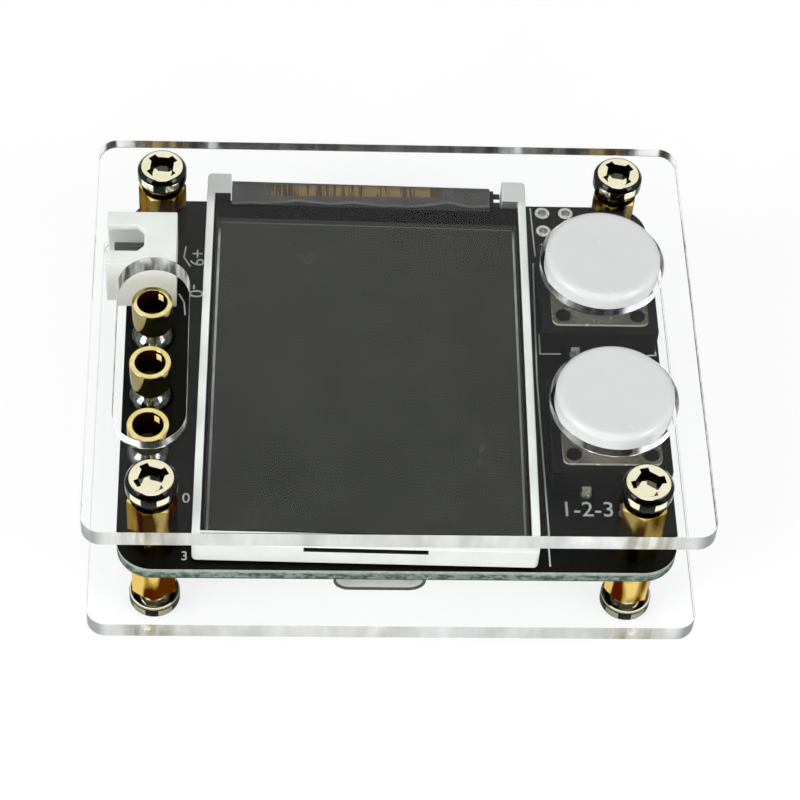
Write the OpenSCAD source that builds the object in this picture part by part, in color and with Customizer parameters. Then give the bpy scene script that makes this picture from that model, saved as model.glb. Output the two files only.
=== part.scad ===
// Component tester: a printed circuit board with a bare colour display, three test sockets and
// two push buttons, held between two clear plates on hexagonal brass standoffs.
// Origin: centre of the footprint, on the surface that the four lower screw heads stand on.
// +X is to the right of the display, +Y is away from the user, +Z is up.

/* [Board] */
// Thickness of the circuit board
board_t = 1.5; // [1:0.1:2]
// Corner radius of the circuit board
board_corner_r = 3.6; // [2:0.1:4]
// Distance from the side edge of the board to the centre of a corner post
post_inset_x = 3.85; // [3:0.05:4]
// Distance from the front or back edge of the board to the centre of a corner post
post_inset_y = 3.55; // [3:0.05:4.5]

/* [Clear plates] */
// Thickness of each clear plate
plate_t = 2.1; // [1.5:0.1:3]
// How far a plate reaches past the board at the left and right
plate_margin_x = 2.85; // [2.2:0.05:5]
// How far a plate reaches past the board at the front and back
plate_margin_y = 1.65; // [1.2:0.05:4]
// Corner radius of a plate
plate_corner_r = 2; // [0.5:0.1:4]

/* [Posts and screws] */
// Height of a lower standoff, from the bottom plate to the board
lower_gap = 5.9; // [5.6:0.1:12]
// Height of an upper standoff, from the board to the top plate
upper_gap = 6.5; // [6.2:0.1:9]
// Size of a standoff across its flats
standoff_af = 4.3; // [4:0.1:5]
// Diameter of the screw shank and of the standoff's stud
screw_d = 2.5; // [2:0.1:3]
// Length of a screw under its head
screw_len = 5; // [4.5:0.1:5]
// Diameter of a screw head
screw_head_d = 5.1; // [4.6:0.1:6]
// Height of a screw head
screw_head_h = 1.8; // [1.4:0.1:2.4]
// Length of the stud that passes through the board
stud_len = 3.8; // [3.2:0.1:4]

/* [Display] */
// Width of the display module
lcd_w = 34; // [32:0.1:37]
// Length of the display module
lcd_l = 47.6; // [46:0.1:52]
// Height of the display module's frame
lcd_h = 2.7; // [2.6:0.1:3.2]
// Width of a side rail of the frame
lcd_rail_w = 0.8; // [0.6:0.05:1.2]
// Width of the front wall of the frame
lcd_front_wall = 1.15; // [0.9:0.05:1.8]
// Thickness of the foam tape under the display
lcd_tape_t = 0.3; // [0.2:0.05:0.5]
// Turn of the display on the board, seen from above, in degrees
lcd_turn = -1.1; // [-1.5:0.1:0]
// Distance from the front edge of the board to the display
lcd_setback = 0.6; // [0.4:0.1:1.5]
// How far the display's two ears reach past the back edge of the board
lcd_overhang = 1.1; // [0.5:0.1:1.4]

/* [Test sockets] */
// Outer diameter of a test socket
socket_d = 4.2; // [3.8:0.1:4.8]
// Bore of a test socket
socket_bore_d = 3.1; // [2.6:0.1:3.3]
// Height of a test socket's rim above the board
socket_h = 5.4; // [4.6:0.1:6]
// Depth of a test socket's bore
socket_bore_depth = 3.5; // [2.8:0.1:3.6]
// Distance between the test sockets
socket_pitch = 7.85; // [6:0.05:8.5]
// Width of the slot over the test sockets
slot_w = 7.25; // [6:0.05:8]

/* [Push buttons] */
// Side of a switch's square base
switch_w = 12; // [11:0.1:13]
// Height of a switch's base
switch_base_h = 3.15; // [3:0.05:3.6]
// Side of a switch's metal cover
switch_cover_w = 10; // [9.4:0.1:10.6]
// Distance between the two buttons
button_pitch = 17.8; // [14:0.1:20]
// Diameter of a button cap
cap_d = 11.9; // [10:0.1:13]
// How far a cap stands out of the top plate
cap_proud = 1.2; // [0.6:0.1:4]
// Thickness of a cap's disc
cap_disc_h = 2.5; // [1.6:0.1:3]
// Gap round a cap in the top plate
cap_gap = 0.45; // [0.3:0.05:1]
// How far a button travels
button_travel = 0.3; // [0.2:0.05:0.4]

/* [Battery socket] */
// Width of the battery socket
battery_w = 7.2; // [6.8:0.1:8]
// Length of the battery socket
battery_l = 7.25; // [6.8:0.05:8]
// Height of the battery socket
battery_h = 5.9; // [5.4:0.1:6.1]
// How far the battery socket reaches past the side of the board
battery_overhang = 2; // [0.5:0.1:2.6]
// Distance between the two battery pins
battery_pitch = 2.5; // [2:0.1:2.6]

/* [USB socket] */
// Width of the USB socket's shell
usb_w = 9.2; // [8.9:0.1:9.6]
// Height of the USB socket's shell
usb_h = 3.3; // [3.1:0.1:3.5]
// Length of the USB socket's shell
usb_l = 7.3; // [6.5:0.1:9]
// Distance from the front edge of the board to the USB socket's mouth
usb_setback = 0.95; // [0:0.05:2]

/* [Hidden] */
$fn = 64;

eps = 0.01;
// How far a cut runs past the face that it opens
over = 1;
fit_gap = 0.05;

// Strips of the board: test sockets at the left, display, push buttons at the right
socket_solder_r = socket_d / 2 + 0.25;
socket_margin = 0.55;
socket_display_gap = 2.15;
switch_margin = 0.35;
switch_display_gap = 1.75;
socket_strip_w = 2 * socket_solder_r + socket_margin + socket_display_gap;
button_strip_w = switch_w + switch_margin + switch_display_gap;
board_w = socket_strip_w + lcd_w + button_strip_w;

// The board is as deep as the display needs, and never less than either column beside it:
// two switches between the posts, or the battery socket and the slot over the test sockets
standoff_r = standoff_af / sqrt(3);
post_hole_d = screw_d + 0.4;
switch_post_gap = 2.1;
battery_post_gap = 0.75;
socket_battery_gap = 1.47;
slot_shift_y = -0.6;
slot_extra = 0.5;
slot_span = 2 * socket_pitch + slot_extra;
slot_web = 1.6;
button_column_d = 2 * (post_inset_y + standoff_r + switch_post_gap) + switch_w + button_pitch;
socket_column_d = 2 * post_inset_y + standoff_r + battery_post_gap + battery_w + socket_battery_gap
    + socket_solder_r + socket_pitch - slot_shift_y + slot_span / 2 + slot_w / 2 + slot_web + post_hole_d / 2;
display_d = lcd_l + lcd_setback - lcd_overhang;
board_d = max(display_d, button_column_d, socket_column_d);
board_shift_x = 0.25;
board_left = board_shift_x - board_w / 2;
board_right = board_shift_x + board_w / 2;
board_front = -board_d / 2;

plate_w = board_w + 2 * plate_margin_x;
plate_d = board_d + 2 * plate_margin_y;
post_x = board_w / 2 - post_inset_x;
post_y = board_d / 2 - post_inset_y;
standoff_bore_d = screw_d + 2 * fit_gap;
// Corner posts: front left, front right, back left, back right
post_signs = [[-1, -1], [1, -1], [-1, 1], [1, 1]];
lower_turns = [30, 10, 0, 22];
upper_turns = [12, 25, 2, 16];
top_recess_turns = [28, 12, 40, 33];
bottom_recess_turns = [5, 50, 20, 70];

// Heights
bottom_plate_z = screw_head_h;
lower_standoff_z = bottom_plate_z + plate_t;
board_z = lower_standoff_z + lower_gap;
top_z = board_z + board_t;
top_plate_z = top_z + upper_gap;
top_screw_z = top_plate_z + plate_t;

// Screw head
head_side_share = 0.45;
head_crown_r = screw_head_d * 0.42;
recess_arm = screw_head_d * 0.34;
recess_w = 0.9;
recess_depth = screw_head_h * 0.6;
// Cone in the middle of the recess
recess_cone_r = recess_arm * 0.72;
recess_cone_tip_r = 0.3;
recess_cone_h = recess_depth * 1.25;

// Display, in its own frame: x across, y from its front wall, z from the board
lcd_x = board_left + socket_strip_w + lcd_w / 2;
lcd_y = board_front + lcd_setback;
lcd_floor_t = 0.3;
lcd_corner_r = 0.5;
lcd_ear_w = 2.5;
lcd_ear_l = 2.8;
lcd_top_z = lcd_tape_t + lcd_h;
lcd_cavity_z = lcd_tape_t + lcd_floor_t;
lcd_cavity_w = lcd_w - 2 * lcd_rail_w;
lcd_slot_w = 12;
lcd_slot_z = 2.3;
lcd_slot_h = 0.5;
light_guide_t = 0.9;
glass_t = 0.55;
polarizer_t = 0.2;
light_guide_z = lcd_top_z - 0.1 - polarizer_t - 2 * glass_t - light_guide_t;
rear_glass_z = light_guide_z + light_guide_t;
front_glass_z = rear_glass_z + glass_t;
polarizer_z = front_glass_z + glass_t;
glass_w = lcd_cavity_w - 0.6;
glass_y = lcd_front_wall + 0.15;
floor_l = lcd_l - lcd_ear_l - 0.2;
guide_gap = 0.1;
rear_glass_back = floor_l - guide_gap;
ledge_l = 2.9;
front_glass_back = rear_glass_back - ledge_l;
polarizer_inset = 0.5;
polarizer_back = front_glass_back - 0.75;
led_l = 1.2;
led_w = 2.2;
led_h = 0.7;
led_pitch = 9;
flex_t = 0.12;
flex_w = lcd_w - 2 * lcd_ear_w - 1.4;
flex_shift_x = -0.6;
flex_bond_l = 0.6;
// The flex rises from the glass ledge, then bends down and runs back under the display
flex_rise = 0.5;
flex_bend_r = (front_glass_z + flex_rise + flex_t) / 2;
flex_bend_y = lcd_l - 0.1 - flex_bend_r;
flex_run = 7.5;
tape_back = 10.5;

// Test sockets, in a row along Y
battery_y = post_y - standoff_r - battery_post_gap - battery_w / 2;
socket_x = board_left + socket_margin + socket_solder_r;
socket_y = battery_y - battery_w / 2 - socket_battery_gap - socket_solder_r - socket_pitch;
socket_neck_r = 1.45;
socket_neck_h = 1.3;
socket_taper_h = 1.1;
socket_tail_r = 0.9;
socket_tail_l = 1;
socket_rim_chamfer = 0.15;
slot_shift_x = 0.2;

// Push buttons
button_x = board_right - switch_margin - switch_w / 2;
back_button_y = post_y - standoff_r - switch_post_gap - switch_w / 2;
front_button_y = back_button_y - button_pitch;
cover_t = 0.3;
cover_hole_r = 3.5;
cover_corner_r = 0.7;
peg_r = 0.78;
peg_offset = switch_cover_w / 2 - 1.12;
well_r = 4.1;
well_floor = 0.7;
leg_pitch = 5;
leg_w = 0.9;
leg_t = 0.3;
leg_out = 0.15;
leg_z = 0.9;
leg_below = 1.6;
leg_hole_d = 1.15;
boss_r = cover_hole_r - 0.2;
flange_r = well_r - 0.3;
flange_t = 0.8;
flange_gap = 0.06;
foot_r = 1.6;
dome_r = 3.7;
dome_h = 0.5;
dome_t = 0.1;
foot_z = well_floor + dome_h + dome_t + 0.03;
stem_w = 3.8;
boss_top = switch_base_h + cover_t + 0.9;
cap_top_z = upper_gap + plate_t + cap_proud;
cap_disc_z = cap_top_z - cap_disc_h;
cap_hub_r = 3.1;
cap_hub_z = boss_top + 0.15;
cap_edge_r = 0.7;
cap_hole_d = cap_d + 2 * cap_gap;

// Battery socket
battery_x = board_left - battery_overhang;
battery_wall = 0.8;
battery_floor = 0.9;
battery_back = 2.4;
battery_window_w = 3.45;
battery_window_l = 3.9;
battery_window_corner = 0.7;
battery_pin_w = 0.64;
battery_pin_z = 3;
battery_pin_tip = 0.7;
battery_leg_x = battery_x + battery_l - 0.95;
battery_pin_hole_d = 1;
pin_below = 1.3;

// USB socket, under the board
usb_x = -1.5;
usb_y = board_front + usb_setback;
usb_wall = 0.3;
usb_tongue_w = 6.7;
usb_tongue_t = 0.7;
usb_tongue_l = 4.5;
usb_back_l = 1.4;
usb_tab_w = 1.1;

// Programming header: plated holes at the back, right of the display
header_pitch = 2.54;
header_hole_d = 1;
header_x = board_right - 11.13;
header_y = board_d / 2 - 0.95;

// Underside: the controller, and the parts round it at their distances from its centre
mcu_x = -4;
mcu_y = 3;
mcu_w = 7;
mcu_h = 1;
mcu_stand = 0.1;
mcu_leg_pitch = 0.8;
mcu_leg_w = 0.37;
mcu_leg_t = 0.15;
mcu_leg_reach = 1;
mcu_leg_foot = 0.55;
crystal_gap = 9;
crystal_w = 5;
crystal_d = 3.2;
crystal_h = 1.1;
regulator_dx = 12;
regulator_dy = -13;
regulator_w = 4.5;
regulator_d = 2.5;
regulator_h = 1.5;
regulator_leg_pitch = 1.5;
regulator_leg_w = 0.44;
regulator_leg_reach = 0.9;
regulator_tab_w = 1.7;
regulator_tab_reach = 0.7;
leg_root = 0.2;
sot_w = 2.9;
sot_d = 1.3;
sot_h = 1;
sot_leg_w = 0.4;
sot_leg_pitch = 1.9;
sot_leg_reach = 0.55;
sot_column_dx = 10.5;
sot_row_dy = 3;
sot_step = 5;
chip_l = 1.6;
chip_w = 0.8;
resistor_h = 0.45;
capacitor_h = 0.8;
chip_cap_l = 0.35;
chip_step = 2.2;
chip_clear = 3.5;
divider_dx = -12;
divider_count = 6;
divider_step = 2.4;
pull_dx = -8.2;
pull_dy = 5.5;
pull_step = 1.6;
filter_dy = -7.6;
filter_dx = 7.5;
supply_dx = 3.8;
// Places as [x, y, turn]
mcu_at = [mcu_x, mcu_y, 0];
crystal_at = [mcu_x, mcu_y + crystal_gap, 0];
regulator_at = [mcu_x + regulator_dx, mcu_y + regulator_dy, 90];
reference_at = [mcu_x + sot_column_dx, mcu_y + sot_row_dy, 0];
transistor_at = [
    [mcu_x + sot_column_dx + mcu_leg_foot, mcu_y + sot_row_dy - sot_step, 0],
    [mcu_x + sot_column_dx + sot_step, mcu_y + sot_row_dy, 90]
];
resistor_at = [
    for (i = [0:divider_count - 1]) [mcu_x + divider_dx, mcu_y - (i - 1) * divider_step, 0],
    for (i = [0:3]) [mcu_x + pull_dx, mcu_y + pull_dy + pull_step * i, 0],
    for (i = [0:3]) [mcu_x + filter_dx + chip_step * i, mcu_y + filter_dy, 90]
];
capacitor_at = [
    for (s = [-1, 1]) [mcu_x + s * chip_clear, mcu_y + crystal_gap, 90],
    for (i = [-1:1]) [mcu_x + chip_step * i, mcu_y + filter_dy, 90],
    for (s = [-1, 1]) [mcu_x + regulator_dx + s * supply_dx, mcu_y + regulator_dy, 90],
    [mcu_x + filter_dx, mcu_y, 90]
];

// Solder joints under the board: radius on the board, and height
leg_solder_r = 0.95;
leg_solder_h = 1;
pin_solder_r = 0.9;
pin_solder_h = 0.9;
socket_joint_r = 1.6;
socket_joint_h = 0.7;
solder_tip_share = 0.45;
socket_tip_share = 0.66;

// ---------- shared shapes ----------

module rounded_slab(w, d, t, r) {
    linear_extrude(height = t) rounded_rect(w, d, r);
}

module rounded_rect(w, d, r) {
    square([w - 2 * r, d], center = true);
    square([w, d - 2 * r], center = true);
    for (sx = [-1, 1], sy = [-1, 1])
        translate([sx * (w / 2 - r), sy * (d / 2 - r)]) circle(r = r);
}

module block(x0, x1, y0, y1, z0, z1) {
    translate([x0, y0, z0]) cube([x1 - x0, y1 - y0, z1 - z0]);
}

module at_posts(turns) {
    for (i = [0:3])
        translate([post_signs[i][0] * post_x, post_signs[i][1] * post_y, 0])
            rotate([0, 0, turns[i]]) children();
}

module post_holes(t) {
    for (s = post_signs)
        translate([s[0] * post_x, s[1] * post_y, -eps]) cylinder(d = post_hole_d, h = t + 2 * eps);
}

// ---------- clear plates and board ----------

module clear_plate() {
    difference() {
        rounded_slab(plate_w, plate_d, plate_t, plate_corner_r);
        post_holes(plate_t);
    }
}

module bottom_plate() {
    color("lightcyan") translate([0, 0, bottom_plate_z]) clear_plate();
}

module socket_slot(t) {
    translate([socket_x + slot_shift_x, socket_y + slot_shift_y, -eps])
        linear_extrude(height = t + 2 * eps) {
            square([slot_w, slot_span], center = true);
            for (s = [-1, 1]) translate([0, s * slot_span / 2]) circle(d = slot_w);
        }
}

module top_plate() {
    color("lightcyan") translate([0, 0, top_plate_z])
        difference() {
            clear_plate();
            socket_slot(plate_t);
            for (y = [back_button_y, front_button_y])
                translate([button_x, y, -eps]) cylinder(d = cap_hole_d, h = plate_t + 2 * eps);
        }
}

module board_holes() {
    post_holes(board_t);
    for (i = [-1:1])
        translate([socket_x, socket_y + i * socket_pitch, -eps])
            cylinder(r = socket_tail_r + fit_gap, h = board_t + 2 * eps);
    for (y = [back_button_y, front_button_y], sx = [-1, 1], sy = [-1, 1])
        translate([button_x + sx * leg_pitch / 2, y + sy * (switch_w / 2 + leg_out + leg_t / 2), -eps])
            cylinder(d = leg_hole_d, h = board_t + 2 * eps);
    for (s = [-1, 1])
        translate([battery_leg_x, battery_y + s * battery_pitch / 2, -eps])
            cylinder(d = battery_pin_hole_d, h = board_t + 2 * eps);
    for (i = [0:1], j = [0:2])
        translate([header_x + i * header_pitch, header_y - j * header_pitch, -eps])
            cylinder(d = header_hole_d, h = board_t + 2 * eps);
}

module circuit_board() {
    color("#0c100e") translate([0, 0, board_z])
        difference() {
            translate([board_shift_x, 0, 0]) rounded_slab(board_w, board_d, board_t, board_corner_r);
            board_holes();
        }
}

// ---------- posts and screws ----------

module cross_recess() {
    for (a = [0, 90])
        rotate([0, 0, a])
            translate([-recess_arm, -recess_w / 2, screw_head_h - recess_depth])
                cube([2 * recess_arm, recess_w, recess_depth + over]);
    translate([0, 0, screw_head_h - recess_cone_h])
        cylinder(r1 = recess_cone_tip_r, r2 = recess_cone_r, h = recess_cone_h + eps);
}

module pan_screw() {
    side_h = screw_head_h * head_side_share;
    r = screw_head_d / 2;
    tip = 0.3;
    difference() {
        rotate_extrude()
            polygon(concat(
                [[0, -screw_len], [screw_d / 2 - tip, -screw_len], [screw_d / 2, tip - screw_len],
                 [screw_d / 2, 0], [r, 0]],
                [for (a = [0:15:90])
                    [head_crown_r + (r - head_crown_r) * cos(a), side_h + (screw_head_h - side_h) * sin(a)]],
                [[0, screw_head_h]]));
        cross_recess();
    }
}

module top_screws() {
    color("khaki") translate([0, 0, top_screw_z]) at_posts(top_recess_turns) pan_screw();
}

module bottom_screws() {
    color("khaki") translate([0, 0, bottom_plate_z])
        at_posts(bottom_recess_turns) mirror([0, 0, 1]) pan_screw();
}

module hex_body(h) {
    chamfer = 0.25;
    intersection() {
        cylinder(r = standoff_r, h = h, $fn = 6);
        rotate_extrude()
            polygon([[0, 0], [standoff_r - chamfer, 0], [standoff_r, chamfer],
                     [standoff_r, h - chamfer], [standoff_r - chamfer, h], [0, h]]);
    }
}

module lower_standoffs() {
    color("goldenrod") translate([0, 0, lower_standoff_z])
        at_posts(lower_turns) difference() {
            hex_body(lower_gap);
            translate([0, 0, -eps]) cylinder(d = standoff_bore_d, h = lower_gap + 2 * eps);
        }
}

module upper_standoffs() {
    bore_depth = screw_len - plate_t + 0.7;
    color("goldenrod") translate([0, 0, top_z])
        at_posts(upper_turns) {
            difference() {
                hex_body(upper_gap);
                translate([0, 0, upper_gap - bore_depth]) cylinder(d = standoff_bore_d, h = bore_depth + eps);
            }
            translate([0, 0, -stud_len]) cylinder(d = screw_d, h = stud_len);
        }
}

// ---------- display ----------

module lcd_place() {
    translate([lcd_x, lcd_y, top_z]) rotate([0, 0, lcd_turn]) children();
}

module lcd_tape() {
    color("dimgray") lcd_place()
        for (s = [-1, 1])
            block(s > 0 ? 2 : 3 - lcd_w / 2, s > 0 ? lcd_w / 2 - 3 : -2, 3, lcd_l - tape_back, 0, lcd_tape_t);
}

module lcd_frame() {
    color("whitesmoke") lcd_place() difference() {
        translate([0, lcd_l / 2, lcd_tape_t]) rounded_slab(lcd_w, lcd_l, lcd_h, lcd_corner_r);
        // pocket for the glass and the light guide
        block(-lcd_cavity_w / 2, lcd_cavity_w / 2, lcd_front_wall, lcd_l - lcd_ear_l,
            lcd_cavity_z, lcd_top_z + over);
        // open back between the two ears
        block(lcd_ear_w - lcd_w / 2, lcd_w / 2 - lcd_ear_w, floor_l, lcd_l + over, 0, lcd_top_z + over);
        // narrow slot in the front wall
        block(-lcd_slot_w / 2, lcd_slot_w / 2, -over, lcd_front_wall + eps,
            lcd_slot_z, lcd_slot_z + lcd_slot_h);
    }
}

module lcd_backlight_leds() {
    color("lightyellow") lcd_place()
        for (i = [-1:1]) translate([i * led_pitch, 0, 0])
            block(-led_w / 2, led_w / 2, lcd_front_wall, lcd_front_wall + led_l,
                lcd_cavity_z, lcd_cavity_z + led_h);
}

module lcd_light_guide() {
    y0 = lcd_front_wall + led_l;
    color("white") lcd_place()
        block(guide_gap - lcd_cavity_w / 2, lcd_cavity_w / 2 - guide_gap, y0, rear_glass_back,
            lcd_cavity_z, rear_glass_z);
}

module lcd_rear_glass() {
    color("slategray") lcd_place()
        block(-glass_w / 2, glass_w / 2, glass_y, rear_glass_back, rear_glass_z, front_glass_z);
}

module lcd_front_glass() {
    color("darkslategray") lcd_place()
        block(-glass_w / 2, glass_w / 2, glass_y, front_glass_back, front_glass_z, polarizer_z);
}

module lcd_polarizer() {
    w = glass_w - 2 * polarizer_inset;
    color("#3c3d3a") lcd_place()
        block(-w / 2, w / 2, glass_y, polarizer_back, polarizer_z, polarizer_z + polarizer_t);
}

module lcd_flex() {
    outer = flex_bend_r;
    top = 2 * outer;
    low = front_glass_z;
    color("saddlebrown") lcd_place()
        translate([flex_shift_x - flex_w / 2, 0, 0]) rotate([90, 0, 90]) linear_extrude(height = flex_w) {
            difference() {
                translate([flex_bend_y, outer]) circle(r = outer);
                translate([flex_bend_y, outer]) circle(r = outer - flex_t);
                translate([flex_bend_y - top, -outer]) square([top, 2 * top]);
            }
            // bonded end and rise
            polygon([
                [rear_glass_back - flex_bond_l, low], [rear_glass_back, low],
                [flex_bend_y, top - flex_t], [flex_bend_y + eps, top - flex_t],
                [flex_bend_y + eps, top], [flex_bend_y, top],
                [rear_glass_back, low + flex_t], [rear_glass_back - flex_bond_l, low + flex_t]]);
            // run under the display
            translate([flex_bend_y - flex_run, 0]) square([flex_run + eps, flex_t]);
        }
}

// ---------- test sockets ----------

module test_socket(index) {
    r = socket_d / 2;
    bore_r = socket_bore_d / 2;
    c = socket_rim_chamfer;
    color("goldenrod")
        translate([socket_x, socket_y + (2 - index) * socket_pitch, top_z])
            rotate_extrude()
                polygon([
                    [0, -board_t - socket_tail_l], [socket_tail_r - 0.2, -board_t - socket_tail_l],
                    [socket_tail_r, 0.2 - board_t - socket_tail_l], [socket_tail_r, 0],
                    [socket_neck_r, 0], [socket_neck_r, socket_neck_h],
                    [r, socket_neck_h + socket_taper_h], [r, socket_h - c], [r - c, socket_h],
                    [bore_r + c, socket_h], [bore_r, socket_h - c], [bore_r, socket_h - socket_bore_depth],
                    [0, socket_h - socket_bore_depth - 0.3]]);
}

module test_socket_1() { test_socket(1); }

module test_socket_2() { test_socket(2); }

module test_socket_3() { test_socket(3); }

module test_socket_solder() {
    h = socket_neck_h - 0.1;
    color("silver")
        for (i = [-1:1])
            translate([socket_x, socket_y + i * socket_pitch, top_z])
                rotate_extrude()
                    polygon(concat(
                        [[socket_neck_r, 0]],
                        [for (a = [0:15:90])
                            [socket_neck_r + (socket_solder_r - socket_neck_r) * cos(a), h * sin(a)]]));
}

// ---------- push buttons ----------

module switch_at(y) {
    translate([button_x, y, top_z]) children();
}

module at_pegs() {
    for (sx = [-1, 1], sy = [-1, 1]) translate([sx * peg_offset, sy * peg_offset, 0]) children();
}

module switch_base() {
    color("#141414") {
        difference() {
            rounded_slab(switch_w, switch_w, switch_base_h, 0.3);
            translate([0, 0, well_floor]) cylinder(r = well_r, h = switch_base_h);
        }
        at_pegs() translate([0, 0, switch_base_h - eps]) cylinder(r = peg_r, h = cover_t + 0.1 + eps);
    }
}

module switch_cover() {
    color("#8a8a80") translate([0, 0, switch_base_h])
        difference() {
            rounded_slab(switch_cover_w, switch_cover_w, cover_t, cover_corner_r);
            translate([0, 0, -eps]) cylinder(r = cover_hole_r, h = cover_t + 2 * eps);
            at_pegs() translate([0, 0, -eps]) cylinder(r = peg_r, h = cover_t + 2 * eps);
        }
}

module switch_legs() {
    y0 = switch_w / 2;
    y1 = y0 + leg_out + leg_t;
    color("silver")
        for (sx = [-1, 1], a = [0, 180])
            rotate([0, 0, a]) translate([sx * leg_pitch / 2 - leg_w / 2, 0, 0]) {
                block(0, leg_w, y0, y1, leg_z - leg_t, leg_z);
                block(0, leg_w, y1 - leg_t, y1, -board_t - leg_below, leg_z);
            }
}

module switch_dome() {
    ball_r = (dome_r * dome_r + dome_h * dome_h) / (2 * dome_h);
    sweep = asin(dome_r / ball_r);
    color("lightgray") translate([0, 0, well_floor])
        rotate_extrude()
            polygon(concat(
                [for (i = [0:6]) let (a = sweep * i / 6)
                    [ball_r * sin(a), dome_h - ball_r * (1 - cos(a)) + dome_t]],
                [for (i = [6:-1:0]) let (a = sweep * i / 6)
                    [ball_r * sin(a), dome_h - ball_r * (1 - cos(a))]]));
}

module switch_plunger() {
    flange_z = switch_base_h - flange_gap - flange_t;
    color("#1c1c1c") {
        rotate_extrude()
            polygon([[0, foot_z], [foot_r, foot_z], [foot_r, flange_z], [flange_r, flange_z],
                     [flange_r, flange_z + flange_t], [boss_r, flange_z + flange_t],
                     [boss_r, boss_top], [0, boss_top]]);
        block(-stem_w / 2, stem_w / 2, -stem_w / 2, stem_w / 2, boss_top - eps, cap_disc_z);
    }
}

module button_cap() {
    r = cap_d / 2;
    color("#dcdcdc") {
        rotate_extrude()
            polygon(concat(
                [[0, cap_disc_z], [r - 0.15, cap_disc_z], [r, cap_disc_z + 0.15]],
                [for (a = [0:15:90])
                    [r - cap_edge_r + cap_edge_r * cos(a), cap_top_z - cap_edge_r + cap_edge_r * sin(a)]],
                [[0, cap_top_z]]));
        difference() {
            translate([0, 0, cap_hub_z]) cylinder(r = cap_hub_r, h = cap_disc_z - cap_hub_z + eps);
            block(-stem_w / 2, stem_w / 2, -stem_w / 2, stem_w / 2, cap_hub_z - over, cap_disc_z);
        }
    }
}

module back_switch_base() { switch_at(back_button_y) switch_base(); }

module back_switch_cover() { switch_at(back_button_y) switch_cover(); }

module back_switch_legs() { switch_at(back_button_y) switch_legs(); }

module back_switch_dome() { switch_at(back_button_y) switch_dome(); }

module back_switch_plunger() { switch_at(back_button_y) switch_plunger(); }

module back_button_cap() { switch_at(back_button_y) button_cap(); }

module front_switch_base() { switch_at(front_button_y) switch_base(); }

module front_switch_cover() { switch_at(front_button_y) switch_cover(); }

module front_switch_legs() { switch_at(front_button_y) switch_legs(); }

module front_switch_dome() { switch_at(front_button_y) switch_dome(); }

module front_switch_plunger() { switch_at(front_button_y) switch_plunger(); }

module front_button_cap() { switch_at(front_button_y) button_cap(); }

// ---------- battery socket ----------

module battery_place() {
    translate([battery_x, battery_y, top_z]) children();
}

module battery_pin_bodies() {
    half = battery_pin_w / 2;
    leg_x = battery_leg_x - battery_x;
    for (s = [-1, 1]) translate([0, s * battery_pitch / 2, 0]) {
        block(battery_pin_tip, leg_x + half, -half, half, battery_pin_z - half, battery_pin_z + half);
        block(leg_x - half, leg_x + half, -half, half, -board_t - pin_below, battery_pin_z + half);
    }
}

module battery_socket_housing() {
    inner_w = battery_w - 2 * battery_wall;
    cavity_l = battery_l - battery_back;
    half = battery_pin_w / 2;
    half_w = battery_window_w / 2;
    corner = battery_window_corner;
    color("whitesmoke") battery_place() difference() {
        block(0, battery_l, -battery_w / 2, battery_w / 2, 0, battery_h);
        // cavity for the plug
        block(-over, cavity_l, -inner_w / 2, inner_w / 2, battery_floor, battery_h - battery_wall);
        // window in the roof, with a cut-off corner at each side of its inner end
        translate([0, 0, battery_h - battery_wall - over]) linear_extrude(height = battery_wall + 2 * over)
            polygon([
                [-over, -half_w], [battery_window_l - corner, -half_w], [battery_window_l, corner - half_w],
                [battery_window_l, half_w - corner], [battery_window_l - corner, half_w], [-over, half_w]]);
        // passages for the pins and their legs
        battery_pin_bodies();
        for (s = [-1, 1]) translate([0, s * battery_pitch / 2, 0])
            block(battery_leg_x - battery_x - half, battery_l + over, -half, half,
                -over, battery_pin_z + half);
    }
}

module battery_socket_pins() {
    color("dimgray") battery_place() battery_pin_bodies();
}

// ---------- USB socket ----------

module usb_outline(w, h) {
    square([w - h, h], center = true);
    for (s = [-1, 1]) translate([s * (w - h) / 2, 0]) circle(d = h);
}

module usb_place() {
    translate([usb_x, usb_y, board_z - usb_h / 2]) children();
}

module usb_shell() {
    inner_w = usb_w - 2 * usb_wall;
    inner_h = usb_h - 2 * usb_wall;
    color("silver") usb_place() {
        difference() {
            rotate([-90, 0, 0]) linear_extrude(height = usb_l) usb_outline(usb_w, usb_h);
            translate([0, -eps, 0]) rotate([-90, 0, 0])
                linear_extrude(height = usb_l - usb_wall + eps) usb_outline(inner_w, inner_h);
        }
        for (s = [-1, 1], y = [1.6, usb_l - 1.6])
            block(s * (usb_w / 2 - 0.35) - 0.15, s * (usb_w / 2 - 0.35) + 0.15,
                y - usb_tab_w / 2, y + usb_tab_w / 2, usb_h / 4, usb_h / 2);
    }
}

module usb_tongue() {
    inner_w = usb_w - 2 * usb_wall;
    inner_h = usb_h - 2 * usb_wall;
    color("#202020") usb_place() {
        y1 = usb_l - usb_wall;
        translate([0, y1 - usb_back_l, 0]) rotate([-90, 0, 0])
            linear_extrude(height = usb_back_l) usb_outline(inner_w, inner_h);
        block(-usb_tongue_w / 2, usb_tongue_w / 2, y1 - usb_back_l - usb_tongue_l, y1 - usb_back_l + eps,
            -usb_tongue_t / 2, usb_tongue_t / 2);
    }
}

// ---------- parts under the board ----------

module under(at) {
    translate([at[0], at[1], board_z]) rotate([0, 0, at[2]]) mirror([0, 0, 1]) children();
}

module gull_leg(w, reach, stand, height, t) {
    foot = reach * mcu_leg_foot;
    rotate([90, 0, 90]) translate([0, 0, -w / 2]) linear_extrude(height = w)
        polygon([[0, height], [reach - foot + t, height], [reach - foot + t, t],
                 [reach, t], [reach, 0], [reach - foot, 0],
                 [reach - foot, height - t], [0, height - t]]);
}

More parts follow.
